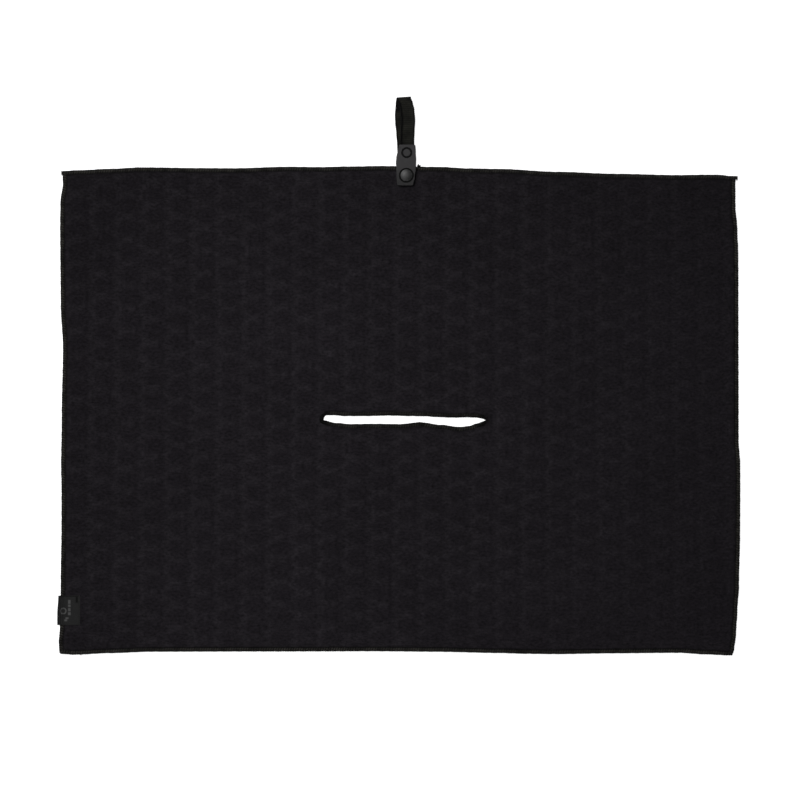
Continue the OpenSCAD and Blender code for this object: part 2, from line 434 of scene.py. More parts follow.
# %% Edges, slit and waves
TOP_STRAY = [
    (-355, -1.7), (-336, -0.7), (-302, 0.7), (-271, 2.2), (-207, 1.45), (-175, 1.2), (-113, 2.8),
    (-81, 2.5), (-50, 3.2), (-18, 3.75), (45, 2.8), (76, 1.15), (107, 0.5), (170, -2.55),
    (233, -4.6), (296, -6.0), (328, -5.6), (342, -5.7), (350, -6.9), (356, -7.0),
]
BOTTOM_STRAY = [
    (-355, -0.2), (-338, -1.2), (-300, 0.5), (-255, 2.0), (-150, 2.2), (-20, 2.4), (45, 1.9),
    (110, 0.65), (140, -0.2), (170, -0.45), (235, 0.45), (300, 0.9), (330, -0.8), (352, -1.7),
]
LEFT_STRAY = [
    (-292, -1.6), (-280, -2.4), (-262, -1.2), (-220, -0.4), (-160, 0.6), (-118, 0.6), (-94, 0.1),
    (-43, 0.7), (30, 2.1), (75, -0.3), (158, -1.0), (184, -0.6), (202, 1.9), (216, 1.6),
]
RIGHT_STRAY = [
    (-292, -6.6), (-284, -4.6), (-270, -2.8), (-245, -1.4), (-220, 0.3), (-165, 1.5), (-118, 1.8),
    (-94, 1.7), (-68, 0.1), (100, -0.3), (133, -0.5), (158, -1.4), (184, -3.5), (216, -3.6),
]
UPPER_LIP = [
    (-78.5, 5.9), (-68, 5.0), (-56, 4.1), (-35, 4.1), (-10, 4.6), (13, 4.1), (28, 3.9),
    (42, 3.0), (57, 2.5), (75, 2.9),
]
LOWER_LIP = [
    (-78.5, 0.3), (-66, 2.9), (-50, 4.2), (-25, 3.9), (2, 4.2), (23, 2.2), (45, 5.0),
    (64, 7.2), (74, 6.5), (82.5, 4.2), (91.5, 2.9),
]


def stray(place, stops):
    """An edge's stray in metres at a place along it in metres."""
    return through(place / MM, stops) * MM


def laid(x, y):
    """Moves points of the straight-cut rectangle to where they lie. The side edges' stray
    fades evenly to nothing at the edge opposite; the top and bottom edges' stray fades
    to nothing at the fold line, which stays straight."""
    u = (x - left) / (right - left)
    above = np.clip((y - fold_y) / (top - fold_y), 0, 1)
    below = np.clip((fold_y - y) / (fold_y - bottom), 0, 1)
    moved_x = x + (1 - u) * stray(y, LEFT_STRAY) + u * stray(y, RIGHT_STRAY)
    moved_y = y + below * stray(x, BOTTOM_STRAY) + above * stray(x, TOP_STRAY)
    return moved_x, moved_y


def slit_opening(x, lip):
    """Half the slit's opening on one side: the lip's own line, drawn in to nothing at the
    slit's ends, bluntly on the left and more to a point on the right."""
    t = np.clip((x - slit_x) / slit_half, -1, 1)
    blunt = np.sqrt(1 - np.abs(t) ** 34)
    pointed = (1 - np.abs(t) ** 14) ** 0.8
    return stray(x, lip) * np.where(t < 0, blunt, pointed)


def wave(x, y):
    """Height of the sheet's low waves over the floor: three sines whose sum stays at or
    above nothing, hushed round the strap, the label and the fold line."""
    ripple = np.sin(9.5 * x + 6.0 * y + 0.8) + np.sin(5.0 * x - 11.0 * y + 2.1)
    ripple = ripple + 0.6 * np.sin(19.0 * x + 3.0 * y - 1.0)
    away_strap = smooth(40 * MM, 110 * MM, np.hypot(x - snap_x, y - snap_y))
    away_label = smooth(22 * MM, 70 * MM, np.hypot(x - label_lo.x, y - (label_lo.y + label_hi.y) / 2))
    away_fold = smooth(8 * MM, 70 * MM, np.abs(y - fold_y))
    return 0.55 * MM * (ripple + 2.6) * away_strap * away_label * (0.12 + 0.88 * away_fold)


def edge_ripple(x, y):
    """The overlock draws its edge in, so the outermost centimetres ripple a little."""
    inner = np.minimum(np.minimum(x - left, right - x), np.minimum(y - bottom, top - y))
    away_strap = smooth(30 * MM, 80 * MM, np.hypot(x - snap_x, y - snap_y))
    away_label = smooth(18 * MM, 50 * MM, np.hypot(x - label_lo.x, y - (label_lo.y + label_hi.y) / 2))
    swing = 1 + np.sin(74.0 * (x + 0.7 * y)) * np.sin(31.0 * (x - 1.3 * y) + 1.0)
    return 0.45 * MM * swing * smooth(28 * MM, 0.0, inner) * away_strap * away_label


def rest_height(x, y):
    """Height of the cloth's underside over the floor, before the pressed pattern."""
    return wave(x, y) + edge_ripple(x, y)


# %% [markdown]
# The cloth is one mesh. Its columns and rows are about three millimetres apart, closer
# at the edges and where it folds. The row on the fold line is there twice between
# the slit's ends, once for each lip, and the rows next to it close up to make room
# for the opening. The face and the back are two such grids, joined by a thin wall.


# %% Rows and columns of the cloth
def spread(stops, step):
    """Places through all stops, evenly spaced between them at about step."""
    runs = [
        np.linspace(a, b, max(1, round((b - a) / step)) + 1)[:-1]
        for a, b in zip(stops[:-1], stops[1:])
    ]
    return np.concatenate([*runs, stops[-1:]])


STEP = 3.08 * MM
RIM = np.array([0.8, 1.9, 3.0, 4.2, 5.6]) * MM
SEAM_SHOWN = seam_w + 0.9 * MM
slit_left, slit_right = slit_x - slit_half, slit_x + slit_half
SLIT_END = 9 * MM
columns = np.concatenate(
    [
        left + RIM,
        spread([left + 7 * MM, slit_left], STEP)[:-1],
        spread([slit_left, slit_left + SLIT_END], 1.0 * MM)[:-1],
        spread([slit_left + SLIT_END, slit_right - SLIT_END], STEP)[:-1],
        spread([slit_right - SLIT_END, slit_right], 1.0 * MM)[:-1],
        spread([slit_right, right - 7 * MM], STEP),
        right - RIM[::-1],
    ]
)
rows_low = np.concatenate(
    [
        bottom + RIM,
        spread([bottom + 7 * MM, fold_y - 8 * MM], STEP)[:-1],
        spread([fold_y - 8 * MM, fold_y], 1.0 * MM),
    ]
)
rows_high = np.concatenate(
    [
        spread([fold_y, fold_y + 8 * MM], 1.0 * MM),
        spread([fold_y + 8 * MM, top - 7 * MM], STEP)[1:],
        top - RIM[::-1],
    ]
)
print(f"cloth grid: {len(columns)} columns, {len(rows_low)} + {len(rows_high)} rows")

# %% Heights of the cloth's face and back
GIVE = 16 * MM
PAD_TOP = 2.65 * MM
PRESS_FACE = 0.80 * MM
PRESS_BACK = 0.40 * MM
LIP_LOW, LIP_HIGH = 0.75 * MM, 1.70 * MM
root_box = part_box("strap_back_leg")


def make_room(x, rows, side):
    """Rows of one half, moved away from the fold line within GIVE of it, so that the row
    on the line becomes the slit's lip and the others close up behind it."""
    lip = slit_opening(x, UPPER_LIP if side > 0 else LOWER_LIP)
    lip = np.where(lip > 0, lip + 0.8 * MM * smooth(0, 1.5 * MM, lip), 0)
    depth = np.abs(rows - fold_y)
    pushed = np.where(depth < GIVE, lip + depth * (GIVE - lip) / GIVE, depth)
    return fold_y + side * pushed, np.where(depth < GIVE, depth * (GIVE - lip) / GIVE, 1.0)


def cloth_half(rows, side):
    """Face and back points of one half, and how much painted shade each gets in the
    furrow beside a seam. The pattern presses both faces, the rim thins to the lip that the
    overlock wraps, and the strap's root sits in a pocket of the back. The painted shade is
    widest behind the slit's lower lip, which stands up a little and shades it."""
    x, y = np.meshgrid(columns, rows)
    y, from_lip = make_room(x, y, side)
    inner = np.minimum(np.minimum(x - left, right - x), np.minimum(y - bottom, top - y))
    in_slit = np.abs(x - slit_x) < slit_half
    inner = np.where(in_slit, np.minimum(inner, from_lip + 0.8 * MM), inner)
    body = smooth(SEAM_SHOWN - 0.9 * MM, SEAM_SHOWN + 1.6 * MM, inner)
    near_strap = smooth(16 * MM, 10 * MM, np.abs(x - snap_x)) * smooth(34 * MM, 26 * MM, top - y)
    near_label = smooth(label_hi.x + 3 * MM, label_hi.x, x)
    near_label = near_label * smooth(18 * MM, 15.5 * MM, np.abs(y - (label_lo.y + label_hi.y) / 2))
    flat = 1 - np.maximum(near_strap, near_label)
    lie_x, lie_y = laid(x, y)
    depth = (0.4 + 0.6 * pattern_strength(lie_x, lie_y)) * body * flat
    groove = pressed(*pattern_place(lie_x, lie_y)) * depth
    base = rest_height(x, y)
    face = LIP_HIGH + (PAD_TOP - 0.25 * MM * (1 - flat) - LIP_HIGH) * body - PRESS_FACE * groove
    back = LIP_LOW * (1 - body) + PRESS_BACK * groove
    in_root = (x > root_box[0].x - 0.4 * MM) & (x < root_box[1].x + 0.4 * MM)
    in_root = in_root & (y > root_box[0].y - 0.4 * MM)
    back = np.where(in_root, root_box[1].z + 0.06 * MM, back + 0.36 * MM * near_label)
    furrow = np.exp(-(((inner - SEAM_SHOWN - 0.6 * MM) / (0.9 * MM)) ** 2)) * flat
    if side < 0:
        behind_lip = np.exp(-(((from_lip - SEAM_SHOWN - 0.4 * MM) / (1.6 * MM)) ** 2))
        furrow = np.maximum(furrow, 1.3 * behind_lip * in_slit)
    points = [np.stack([lie_x, lie_y, base + h], axis=-1) for h in (face, back)]
    return [*points, furrow]


# %% Build the cloth
low_face, low_back, low_furrow_shade = cloth_half(rows_low, -1)
high_face, high_back, high_furrow_shade = cloth_half(rows_high, 1)
furrow = np.concatenate([low_furrow_shade, high_furrow_shade])
count = len(columns)
first_slit = int(np.argmin(np.abs(columns - slit_left)))
last_slit = int(np.argmin(np.abs(columns - slit_right)))
face_points = np.concatenate([low_face, high_face]).reshape(-1, 3)
back_points = np.concatenate([low_back, high_back]).reshape(-1, 3)
index = np.arange(len(face_points)).reshape(-1, count)
fold_row = len(rows_low)
shared = np.ones(count, bool)
shared[first_slit + 1 : last_slit] = False
index[fold_row, shared] = index[fold_row - 1, shared]
face_quads = np.concatenate([joined(index[:fold_row]), joined(index[fold_row:])])
offset = len(face_points)
slit_run = slice(first_slit, last_slit + 1)
left_side = np.concatenate([index[:fold_row, 0], index[fold_row + 1 :, 0]])
right_side = np.concatenate([index[:fold_row, -1], index[fold_row + 1 :, -1]])
outline = np.concatenate([index[0, :-1], right_side[:-1], index[-1, :0:-1], left_side[:0:-1]])
slit_line = np.concatenate([index[fold_row, slit_run], index[fold_row - 1, slit_run][-2:0:-1]])
cloth_quads = np.concatenate(
    [face_quads, face_quads[:, ::-1] + offset, wall(outline, offset), wall(slit_line, offset)]
)
cloth_points = np.concatenate([face_points, back_points])
used = np.unique(cloth_quads)
renumber = np.zeros(len(cloth_points), int)
renumber[used] = np.arange(len(used))
cloth = mesh_object("towel_cloth", cloth_points[used], renumber[cloth_quads], crease=50)
lie_x, lie_y = cloth_points[used, 0], cloth_points[used, 1]
place_x, place_y = pattern_place(lie_x, lie_y)
strength = pattern_strength(lie_x, lie_y)
store(cloth, "flat", np.stack([place_x / MM, place_y / MM, strength], axis=-1))
# Painted shade darkens the cloth in the furrow beside each seam.
furrow_shade = np.tile(furrow.reshape(-1), 2)[used]
# A painted shadow darkens the cloth round the slit's right end.
from_slit_end = np.hypot(lie_x - slit_right - 2 * MM, lie_y - fold_y)
# A broad pool of painted light and shade, lighter in the middle, goes into the cloth's colour.
painted_lightness = painted_light(lie_x, lie_y) * (1 - 0.2 * furrow_shade)
painted_lightness = painted_lightness * (1 - 0.3 * smooth(11 * MM, 3 * MM, from_slit_end))
store(cloth, "painted_light", painted_lightness[:, None])

# %% [markdown]
# Microfibre towelling is split polyester: matt, dyed a warm purplish black, with a
# short brushed pile that glows faintly where it is seen edge on. The pressed stars
# have flatter pile and look a little lighter than the pads. The pile's grain is a
# millimetre or two across, and slow clouds show where a hand has brushed it.

# %% Material: brushed microfibre
cloth_look, tree, shader = material(
    "brushed polyester microfibre",
    0.95,
    ior=1.45,
    specular_ior_level=0.12,
    sheen_weight=0.10,
    sheen_roughness=0.45,
    sheen_tint=linear("#b9b4c4"),
)
flat = attribute(tree, "flat", "Vector")


def node_segment(tree, point, along):
    """The same distance as segment_distance, as nodes, in millimetres."""
    ax, ay = along[0] / MM, along[1] / MM
    size = ax * ax + ay * ay
    dot = vectors(tree, "DOT_PRODUCT", point, (ax / size, ay / size, 0))
    share = add(tree, "ShaderNodeClamp", {"Value": dot}).outputs[0]
    foot = scaled(tree, (ax, ay, 0), share)
    return vectors(tree, "LENGTH", vectors(tree, "SUBTRACT", point, foot))


def node_star(tree, place):
    """Distance to the nearest star, in millimetres, from a place on the flat cloth."""
    half_w, half_h = CELL_W / MM, CELL_H / 2 / MM
    found = []
    for shift in (0, 1):
        origin = (STAR_AT[0] / MM - shift * half_w, STAR_AT[1] / MM - shift * half_h, 0)
        local = vectors(tree, "SUBTRACT", place, origin)
        level = vectors(tree, "MULTIPLY", local, (1, 1, 0))
        cell = vectors(tree, "WRAP", level, (half_w, half_h, 1), (-half_w, -half_h, -1))
        across, up = part(tree, cell, "X"), maths(tree, "ABSOLUTE", part(tree, cell, "Y"))
        folded = add(tree, "ShaderNodeCombineXYZ", {"X": across, "Y": up}).outputs[0]
        found += [node_segment(tree, folded, STEM), node_segment(tree, folded, ARM)]
    return extreme(tree, "MINIMUM", found)


level = vectors(tree, "MULTIPLY", flat, (1, 1, 0))
wobble = add(tree, "ShaderNodeTexNoise", {"Vector": level, "Scale": 0.09, "Detail": 1.0})
shift = vectors(tree, "SUBTRACT", wobble.outputs["Color"], (0.5, 0.5, 0.5))
place = vectors(tree, "ADD", level, scaled(tree, shift, 5.0))
star = remap(tree, node_star(tree, place), 7.2, 0.1, interpolation_type="SMOOTHSTEP")
rubbed = remap(tree, noise(tree, level, 0.07, 2.0), 0.3, 0.7, 0.4, 1.25)
shown = product(tree, rubbed, part(tree, flat, "Z"), star)
pads = mixed_colour(tree, shown, "#252226", "#2d2a2e")
lying = vectors(tree, "MULTIPLY", level, (0.62, 1.0, 1.0))
pile = noise(tree, lying, 0.46, 5.0, Roughness=0.68)
grain = remap(tree, pile, 0.3, 0.7, 0.46, 1.56)
tufts = remap(tree, noise(tree, lying, 0.2, 1.0), 0.3, 0.7, 0.87, 1.13)
brushed = remap(tree, noise(tree, level, 0.012, 2.0), 0.35, 0.65, 0.94, 1.06)
# The cloth's colour takes its painted light and shade from the mesh.
tone = product(tree, brushed, attribute(tree, "painted_light"), tufts, grain)
paint(tree, shader, scaled(tree, pads, tone))
height = maths(tree, "ADD", pile, maths(tree, "MULTIPLY", star, -0.35))
roughen(tree, shader, height, 0.55, 0.9 * MM)
cloth.data.materials.append(cloth_look)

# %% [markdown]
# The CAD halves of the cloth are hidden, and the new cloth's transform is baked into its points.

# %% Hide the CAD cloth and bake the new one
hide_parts("towel_lower", "towel_upper")
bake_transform(cloth)

# %% [markdown]
# An overlock seam is thread wound over the cloth's edge. Its shape is a flat oval bar
# carried along the edge, with a thread-high ridge that winds round it like a screw
# and leans over, as the machine's loopers lay it. A straight line of needle stitches
# holds it on the inner side.


# %% Sweep a profile along a path
def arc_length(path):
    """Distance along a path of points, from its first point."""
    steps = np.linalg.norm(np.diff(path, axis=0), axis=1)
    return np.concatenate([[0], np.cumsum(steps)])


def resample(path, step):
    """The same path with points at even distances of about step."""
    s = arc_length(path)
    even = np.linspace(0, s[-1], max(2, round(s[-1] / step)) + 1)
    return np.stack([np.interp(even, s, path[:, k]) for k in range(3)], axis=-1), even


def unit(vectors_in):
    """The same directions with length one."""
    return vectors_in / np.linalg.norm(vectors_in, axis=-1, keepdims=True)


def sweep(path, side, across, above):
    """Points of a closed profile carried along a path: across and above are its sizes in
    the side direction and upright to it, one row for each point of the path."""
    forward = unit(np.gradient(path, axis=0))
    side = unit(side - np.sum(side * forward, axis=1, keepdims=True) * forward)
    upright = np.cross(forward, side)
    return (
        path[:, None, :]
        + across[:, :, None] * side[:, None, :]
        + above[:, :, None] * upright[:, None, :]
    )


def tube_mesh(points, closed=False):
    """Quads and end caps of swept points, with the faces turned outwards."""
    rings, around = points.shape[:2]
    quads = joined(np.arange(rings * around).reshape(rings, around), wrap=True)
    if closed:
        last = (rings - 1) * around + np.arange(around)
        first = np.arange(around)
        bridge = [last, np.roll(last, -1), np.roll(first, -1), first]
        return np.concatenate([quads, np.stack(bridge, axis=-1)]), ()
    ends = [list(range(around))[::-1], list(range((rings - 1) * around, rings * around))]
    return quads, ends


def join_arrays(parts):
    """Several (points, quads, caps) put in one set of arrays."""
    points, quads, caps, count = [], [], [], 0
    for part_points, part_quads, part_caps in [part[:3] for part in parts]:
        flat_points = part_points.reshape(-1, 3)
        points.append(flat_points)
        quads.append(part_quads + count)
        caps.extend([[k + count for k in cap] for cap in part_caps])
        count += len(flat_points)
    return np.concatenate(points), np.concatenate(quads), caps


# %% The overlock's formula
STITCH = 2.6 * MM
SEAM_HIGH = 2.7 * MM
THREAD = 0.30 * MM


def overlock(path, inward, closed=False, width=None):
    """An oval bar along path, wound with thread: the ridge follows the phase
    2 pi s / stitch + 2 angle, so it closes on itself after each turn round the bar."""
    drawn_at = arc_length(path)
    width = SEAM_SHOWN if width is None else width
    path, s = resample(path, STITCH / 7)
    side = unit(np.stack([np.interp(s, drawn_at, inward[:, k]) for k in range(3)], axis=-1))
    if closed:
        path, side, s = path[:-1], side[:-1], s[:-1]
    around = 12
    angle = np.linspace(0, 2 * np.pi, around, endpoint=False)[None, :]
    phase = 2 * np.pi * s[:, None] / STITCH + 2 * angle
    ridge = THREAD * (np.abs(np.cos(phase / 2)) ** 0.7 - 0.5)
    loose = 0.12 * MM * np.sin(s[:, None] * 610.0) * np.sin(s[:, None] * 143.0)
    flatness = np.sign(np.cos(angle)) * np.abs(np.cos(angle)) ** 0.75
    across = flatness * (width / 2 + ridge + loose) + 0 * s[:, None]
    above = np.sin(angle) * (SEAM_HIGH / 2 + ridge)
    points = sweep(path, side, across, above)
    quads, ends = tube_mesh(points, closed)
    # crest gives each winding a painted highlight on top and painted shade between windings; the two
    # sides give painted shade down the seam's sides.
    crest = np.abs(np.cos(phase / 2))
    inner_side_shade = 0.5 * smooth(0.2, 0.9, np.cos(angle)) + 0 * s[:, None]
    outer_side_shade = 1.1 * smooth(-0.1, -0.85, np.cos(angle))
    wound = np.stack([crest, inner_side_shade + outer_side_shade, 0 * crest], axis=-1).reshape(-1, 3)
    return points, quads, ends, wound


def needle_line(path, inward, inset):
    """A thin thread beside the seam that dips into the cloth once every stitch."""
    path, s = resample(path + unit(inward) * inset, 0.6 * MM)
    angle = np.linspace(0, 2 * np.pi, 6, endpoint=False)[None, :]
    radius = 0.19 * MM + 0 * s[:, None]
    dip = 0.24 * MM * np.abs(np.sin(np.pi * s / STITCH))
    path = path + np.array([0, 0, 1]) * dip[:, None]
    side = np.repeat(unit(inward)[:1], len(path), axis=0)
    points = sweep(path, side, np.cos(angle) * radius, np.sin(angle) * radius)
    quads, ends = tube_mesh(points)
    return points, quads, ends


def edge_path(x, y, inward):
    """Middle line of the seam on one straight-cut edge, laid down with the cloth."""
    inside_x, inside_y = x + inward[0] * SEAM_SHOWN / 2, y + inward[1] * SEAM_SHOWN / 2
    lie_x, lie_y = laid(inside_x, inside_y)
    base = rest_height(inside_x, inside_y)
    path = np.stack([lie_x, lie_y, base + cloth_t / 2 + 0.15 * MM], axis=-1)
    return path, np.repeat(np.array([[inward[0], inward[1], 0.0]]), len(path), axis=0)


# %% [markdown]
# The thread is black polyester. Where its windings turn up they carry a painted
# highlight, lighter than the cloth they bind, and between them and down the seam's sides
# they carry painted shade, much darker. The mesh says where each point lies on its winding,
# blotches make some stitches lighter than others, and a fine noise stands for the filaments.

# %% Material: overlock thread
thread_look, tree, shader = material(
    "spun polyester thread", 0.75, specular_ior_level=0.12, sheen_weight=0.03
)
place = object_place(tree)
blotch = remap(tree, noise(tree, place, 150.0, 3.0, Roughness=0.7), 0.35, 0.65)
colour = mixed_colour(tree, blotch, "#1f1e1c", "#403e3a")
wound = attribute(tree, "wound", "Vector")
# Painted highlight on the windings' crests, and painted shade between them and down the seam's sides.
crest = remap(tree, part(tree, wound, "X"), 0.3, 0.8, 0.1, 1.25)
in_shade = remap(tree, part(tree, wound, "Y"), 0.0, 1.0, 1.0, 0.25)
# The slit binding's darker thread, and the painted shade at its two ends.
binding_dark_and_end_shade = remap(tree, part(tree, wound, "Z"), 0.0, 1.0, 1.0, 0.12)
paint(tree, shader, scaled(tree, colour, product(tree, crest, in_shade, binding_dark_and_end_shade)))
roughen(tree, shader, noise(tree, place, 1400.0, 3.0), 0.5, 0.25 * MM)

# %% Sew the four edges
top_run = np.linspace(left - 1.3 * MM, right + 2.4 * MM, 400)
bottom_run = np.linspace(left + 1.1 * MM, right - 0.9 * MM, 400)
side_run = np.linspace(bottom + 1.2 * MM, top - 1.2 * MM, 300)
EDGES = {
    "overlock_top": (top_run, np.full(400, top), (0, -1)),
    "overlock_bottom": (bottom_run, np.full(400, bottom), (0, 1)),
    "overlock_left": (np.full(300, left), side_run, (1, 0)),
    "overlock_right": (np.full(300, right), side_run, (-1, 0)),
}
for name, (x, y, inward) in EDGES.items():
    path, side = edge_path(x, y, inward)
    needles = needle_line(path + [0, 0, 1.05 * MM], side, SEAM_SHOWN / 2 + 0.6 * MM)
    parts = [overlock(path, side), needles]
    seam = mesh_object(name, *join_arrays(parts))
    # wound gives the needle line a share of painted shade, where it lies beside the seam.
    needle_wound = np.tile([0.5, 0.6, 0.0], (parts[1][0].size // 3, 1))
    store(seam, "wound", np.concatenate([parts[0][3], needle_wound]))
    seam.data.materials.append(thread_look)
    if name in ("overlock_top", "overlock_bottom"):
        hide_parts(name)
        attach(seam, "upper" if name == "overlock_top" else "lower")
    else:
        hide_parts(name + "_lower", name + "_upper")
        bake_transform(seam)

# %% [markdown]
# The slit's binding is the same seam sewn round a closed line: along the upper lip,
# round the right end, back along the lower lip and round the left end.

# %% Bind the slit
SLIT_SEAM = SEAM_SHOWN + 0.3 * MM
turn = np.linspace(0, np.pi, 500)
run_x = slit_x - slit_half * np.cos(turn)
upper = np.stack([run_x, fold_y + slit_opening(run_x, UPPER_LIP)], axis=-1)
lower = np.stack([run_x, fold_y - slit_opening(run_x, LOWER_LIP)], axis=-1)[::-1]
outline_2d = np.concatenate([upper[:-1], lower[:-1]])
forward = unit(np.roll(outline_2d, -1, axis=0) - np.roll(outline_2d, 1, axis=0))
outward = np.stack([-forward[:, 1], forward[:, 0]], axis=-1)
middle_line = outline_2d + outward * SLIT_SEAM / 2
base = rest_height(middle_line[:, 0], middle_line[:, 1])
lie_x, lie_y = laid(middle_line[:, 0], middle_line[:, 1])
path = np.stack([lie_x, lie_y, base + cloth_t / 2 + 0.15 * MM], axis=-1)
path = np.concatenate([path, path[:1]])
side = np.column_stack([outward, np.zeros(len(outward))])
side = np.concatenate([side, side[:1]])
bound = overlock(path, side, closed=True, width=SLIT_SEAM)
# The slit's binding is drawn darker than the edge seams, more on the upper lip, and its two ends are
# painted in deep shade.
from_end = slit_half + 4 * MM - np.abs(bound[0][..., 0].reshape(-1) - slit_x)
below_line = smooth(2 * MM, -2 * MM, bound[0][..., 1].reshape(-1) - fold_y)
bound[3][:, 2] = np.maximum(0.42 - 0.2 * below_line, smooth(18 * MM, 5 * MM, from_end))
binding = mesh_object("slit_overlock", *bound[:3])
store(binding, "wound", bound[3])
binding.data.materials.append(thread_look)
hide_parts("slit_overlock_lower", "slit_overlock_upper")
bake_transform(binding)

# %% [markdown]
# Short stitches and thread ends are small tubes with rounded ends. Each runs along its
# own short line and bulges in the middle, as thread does between two holes.


# %% Stitches
def stitch(start, end, radius, rise=0.0):
    """One thread from start to end: a tube of six sides that thins at both ends and
    rises in the middle."""
    share = np.linspace(0, 1, 7)
    path = np.array(start) + share[:, None] * (np.array(end) - np.array(start))
    path = path + np.array([0, 0, 1]) * (rise * np.sin(np.pi * share))[:, None]
    angle = np.linspace(0, 2 * np.pi, 6, endpoint=False)[None, :]
    size = (radius * (0.25 + 0.75 * np.sin(np.pi * np.clip(share, 0.04, 0.96)) ** 0.5))[:, None]
    across_way = unit(np.cross(np.array(end) - np.array(start), [0, 0, 1.0]))
    side = np.repeat(across_way[None, :], 7, axis=0)
    points = sweep(path, side, np.cos(angle) * size, np.sin(angle) * size)
    quads, ends = tube_mesh(points)
    return points, quads, ends


# %% [markdown]
# The strap is one piece of polyester webbing. It starts under the cloth, lies back
# along the floor side, turns over at the top and comes down to the tab. Its path is
# the CAD route with its corners rounded, and it drifts sideways on the way, because
# the two legs don't lie exactly over each other. Warp ends show as columns, weft ribs
# cross them, and each weft loop makes a bump on the edge. Real ribs are a millimetre
# apart; here they are two, or they would be too fine to show.

# %% Route of the webbing
front_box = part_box("strap_front_leg")
turn_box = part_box("strap_fold")
tape_t = root_box[1].z - root_box[0].z
back_z = (root_box[0].z + root_box[1].z) / 2
turn_y = turn_box[0].y
turn_z = (turn_box[0].z + turn_box[1].z) / 2
turn_r = (turn_box[1].z - turn_box[0].z - tape_t) / 2
front_z = front_box[0].z + tape_t / 2
half_turn = np.linspace(0, np.pi, 30)
round_top = np.stack([np.sin(half_turn), -np.cos(half_turn)], axis=-1) * turn_r + [turn_y, turn_z]
sagging = [tab_hi.y + 16 * MM, turn_z + turn_r - 0.5 * MM]
tab_mouth = [tab_hi.y - 1 * MM, front_z]
route = np.concatenate(
    [
        np.linspace([root_box[0].y, back_z], [turn_y, back_z], 80),
        round_top[1:],
        np.linspace(round_top[-1], sagging, 30)[1:],
        np.linspace(sagging, tab_mouth, 20)[1:],
        np.linspace(tab_mouth, [front_box[0].y, front_z], 40)[1:],
    ]
)
route = np.column_stack([np.zeros(len(route)), route])
route, s = resample(route, 0.26 * MM)
kernel = np.hanning(15)
kernel /= kernel.sum()
for axis in (1, 2):
    padded = np.pad(route[:, axis], 7, mode="edge")
    route[:, axis] = np.convolve(padded, kernel, mode="valid")
turn_s = s[np.argmax(route[:, 1])]
sideways = [
    (0, 7.0), (20, 7.0), (26, 5.2), (33, 5.7), (38, 6.8), (46, 6.5), (58, 5.6), (69, 4.5),
    (77, 4.2), (turn_s / MM - 8, 5.0), (turn_s / MM + 3, 6.4), (turn_s / MM + 9, 8.4),
    (turn_s / MM + 15, 9.9), (turn_s / MM + 26, 10.8), (turn_s / MM + 38, 10.2),
    (turn_s / MM + 48, 9.8), (s[-1] / MM - 20, 9.8), (s[-1] / MM, 9.2),
]
drift = through(s / MM, sideways) * MM

# %% Weave of the webbing
RIB = 2.1 * MM
WARP = 1.2 * MM
TAPE_W = 14.5 * MM
RIB_HIGH = 0.30 * MM
flat_columns = 30
round_side = np.array([45, 0, -45]) * np.pi / 180
u_flat = np.linspace(-1, 1, flat_columns)
u = np.concatenate([u_flat, [1.0] * 3, u_flat[::-1], [-1.0] * 3])
round_end = np.sin(round_side)
v = np.concatenate([np.ones(flat_columns), round_end, -np.ones(flat_columns), -round_end])
bulge = np.concatenate([np.zeros(flat_columns), np.cos(round_side)] * 2)
s_grid, u_grid = np.meshgrid(s, u, indexing="ij")
face_sign = np.sign(v)[None, :] * (bulge[None, :] == 0)
parity = np.floor(u_grid * TAPE_W / 2 / WARP + 100) % 2
ribs = np.abs(np.sin(np.pi * (s_grid / RIB + parity / 2)))
ends_round = np.abs(np.sin(np.pi * u_grid * TAPE_W / 2 / WARP)) ** 0.5
weave = RIB_HIGH * (ribs * (0.45 + 0.55 * ends_round) - 0.5)
loops = 0.28 * MM * np.abs(np.sin(np.pi * s_grid / RIB)) * (np.abs(u_grid) > 0.99)
reach = np.abs(u_grid) * (TAPE_W / 2 - 0.4 * MM) + bulge[None, :] * 0.4 * MM + loops
across = (np.sign(u_grid) * reach)[:, ::-1]
above = (v[None, :] * (tape_t / 2 - 0.06 * MM) + face_sign * weave)[:, ::-1]
side = np.repeat(np.array([[1.0, 0, 0]]), len(route), axis=0)
points = sweep(route, side, across, above)
points[:, :, 1] += 0.07 * smooth(30 * MM, 4 * MM, np.abs(s - turn_s))[:, None] * points[:, :, 0]
points[:, :, 0] += drift[:, None]
quads, ends = tube_mesh(points)
webbing = mesh_object("strap_webbing", points.reshape(-1, 3), quads, ends)
store(webbing, "tape", np.stack([across, s_grid, above], axis=-1).reshape(-1, 3) / MM)
print(f"webbing length {s[-1] / MM:.0f} mm")

# %% [markdown]
# There is a narrow dark gap where the two legs part: the front leg's left edge rolls
# under, and the back leg is shaded in the eye of the loop. The loop here stands open
# over a bright floor, so that shade is kept on the mesh and the material reads it.

# %% Shade inside the loop
on_front = smooth(turn_s + 2 * MM, turn_s + 10 * MM, s_grid)
left_edge = on_front * smooth(-4.3 * MM, -5.6 * MM, across)
in_eye = smooth(turn_s - 19 * MM, turn_s - 14 * MM, s_grid)
in_eye = in_eye * smooth(turn_s - 0.5 * MM, turn_s - 5 * MM, s_grid)
in_eye = in_eye * smooth(-6.6 * MM, -5.4 * MM, across) * smooth(-1.6 * MM, -3.0 * MM, across)
shade = 1 - 0.9 * np.maximum(left_edge, 0.85 * in_eye)
store(webbing, "shade", shade.reshape(-1, 1))

